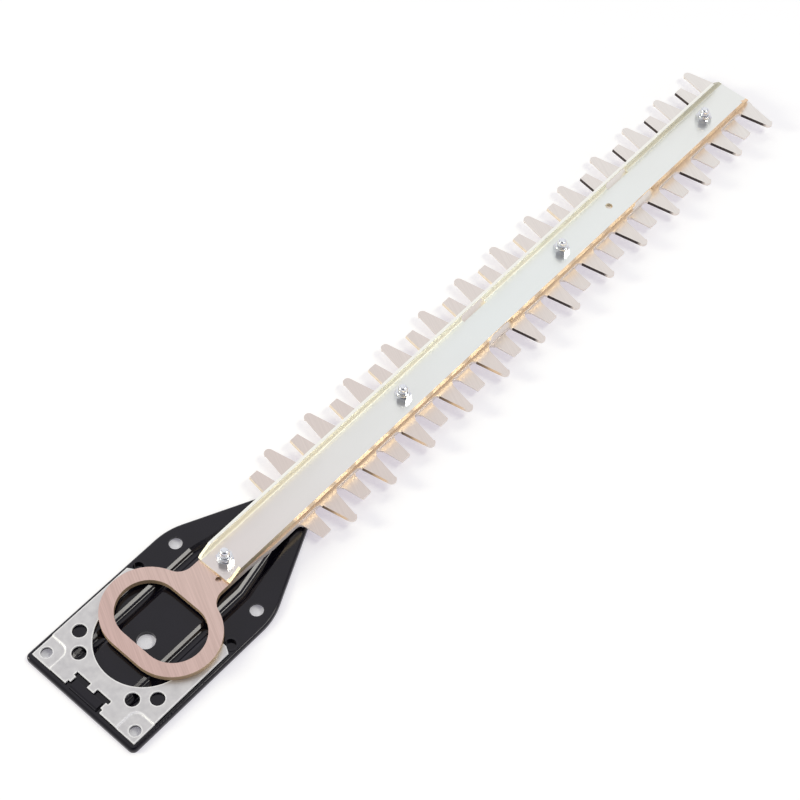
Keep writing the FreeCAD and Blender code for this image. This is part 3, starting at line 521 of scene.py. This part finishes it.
# White floor, clear from below
def floor_finish():
    material, tree, shader = new_material("floor")
    shader.inputs["Base Color"].default_value = (0.93, 0.93, 0.93, 1.0)
    shader.inputs["Roughness"].default_value = 0.9
    shader.inputs["Specular IOR Level"].default_value = 0.0
    surface = tree.nodes.new("ShaderNodeNewGeometry")
    paper = seen_paper(tree, surface)
    rays = tree.nodes.new("ShaderNodeLightPath")
    mirrored = math_node(tree, "MAXIMUM", rays, "Is Camera Ray", rays, "Is Glossy Ray")
    watched = math_node(tree, "MAXIMUM", mirrored, "Value", rays, "Is Transmission Ray")
    either = tree.nodes.new("ShaderNodeMixShader")
    link(tree, watched, "Value", either, 0)
    link(tree, shader, "BSDF", either, 1)
    link(tree, paper, "Shader", either, 2)
    clear = tree.nodes.new("ShaderNodeBsdfTransparent")
    sided = tree.nodes.new("ShaderNodeMixShader")
    link(tree, surface, "Backfacing", sided, 0)
    link(tree, either, "Shader", sided, 1)
    link(tree, clear, "BSDF", sided, 2)
    link(tree, sided, "Shader", tree.nodes["Material Output"], "Surface")
    return material


floor_reach = 6.0
floor_corners = [
    (-floor_reach, -floor_reach, 0),
    (floor_reach, -floor_reach, 0),
    (floor_reach, floor_reach, 0),
    (-floor_reach, floor_reach, 0),
]
floor_mesh = bpy.data.meshes.new("floor")
floor_mesh.from_pydata(floor_corners, [], [(0, 1, 2, 3)])
floor = bpy.data.objects.new("floor", floor_mesh)
scene.collection.objects.link(floor)
floor.data.materials.append(floor_finish())


# Pale walls, dark ceiling and two pale panels, white where the camera looks past the floor
def surroundings():
    world = bpy.data.worlds.new("surroundings")
    world.use_nodes = True
    sky = world.node_tree
    background = sky.nodes["Background"]
    coordinates = sky.nodes.new("ShaderNodeTexCoord")
    split = sky.nodes.new("ShaderNodeSeparateXYZ")
    link(sky, coordinates, "Generated", split, "Vector")
    lit = ramp(sky, split, "Z", [
        (0.0, (0.80, 0.78, 0.84)),
        (0.45, (0.72, 0.70, 0.77)),
        (0.62, (0.34, 0.33, 0.37)),
        (0.80, (0.14, 0.14, 0.16)),
        (1.0, (0.12, 0.12, 0.14)),
    ])
    rear_panel = ((-0.65, 0.42, 0.63), 0.97, 0.77, (0.60, 0.60, 0.58))
    front_panel = ((0.50, 0.48, 0.72), 0.96, 0.68, (0.90, 0.90, 0.91))
    for direction, inner, outer, color in (rear_panel, front_panel):
        toward = sky.nodes.new("ShaderNodeVectorMath")
        toward.operation = "DOT_PRODUCT"
        link(sky, coordinates, "Generated", toward, 0)
        toward.inputs[1].default_value = Vector(direction).normalized()
        panel = rise(sky, toward, "Value", outer, inner)
        lit = mix_color(sky, panel, "Result", lit, color)
    white_below = 0.08
    white_end = 0.25
    rays = sky.nodes.new("ShaderNodeLightPath")
    horizon = fall(sky, split, "Z", white_below, white_end)
    mirrored = math_node(sky, "MULTIPLY", rays, "Is Glossy Ray", horizon, "Result")
    direct = math_node(sky, "MAXIMUM", rays, "Is Camera Ray", rays, "Is Transmission Ray")
    watched = math_node(sky, "MAXIMUM", direct, "Value", mirrored, "Value")
    seen = mix_color(sky, watched, "Value", lit, WHITE)
    link(sky, seen, "Color", background, "Color")
    background.inputs["Strength"].default_value = 1.0
    return world


scene.world = surroundings()


# Oblong lamp with its length along the bar, facing the rear half of the object
def softbox(name, spot, size, radiance, color):
    target = Vector((0.12, 0.0, 0.0))
    data = bpy.data.lights.new(name, "AREA")
    data.shape = "RECTANGLE"
    data.size = size[0]
    data.size_y = size[1]
    data.energy = radiance * math.pi * size[0] * size[1]
    data.color = color
    lamp = bpy.data.objects.new(name, data)
    scene.collection.objects.link(lamp)
    away = (Vector(spot) - target).normalized()
    bar = Vector((1.0, 0.0, 0.0))
    along = (bar - bar.dot(away) * away).normalized()
    turn = Matrix((along, away.cross(along), away)).transposed().to_4x4()
    lamp.matrix_world = Matrix.Translation(spot) @ turn


softbox(
    "key_box",
    spot=(0.794, -0.725, 1.471),
    size=(0.74, 0.28),
    radiance=12.5,
    color=(1.0, 1.0, 0.89),
)
softbox(
    "low_lamp",
    spot=(-0.896, 1.011, 0.707),
    size=(0.46, 0.46),
    radiance=18.0,
    color=(1.0, 0.98, 0.82),
)

# Camera at the photo's place, for a square picture
camera_data = bpy.data.cameras.new("camera")
camera_data.sensor_fit = "HORIZONTAL"
camera_data.sensor_width = 36.0
camera_data.lens = 86.10
camera_data.clip_start = 0.01
camera_data.clip_end = 50.0
camera = bpy.data.objects.new("camera", camera_data)
scene.collection.objects.link(camera)
camera_spot = (-0.24890, -0.36005, 0.83226)
camera_right = Vector((0.66205079, -0.74916471, 0.02100001))
camera_up = Vector((0.61077139, 0.55556487, 0.56418613))
camera_back = Vector((-0.4343352, -0.36069367, 0.82538053))
camera_turn = Matrix((camera_right, camera_up, camera_back)).transposed().to_4x4()
camera.matrix_world = Matrix.Translation(camera_spot) @ camera_turn
scene.camera = camera

bpy.context.view_layer.update()
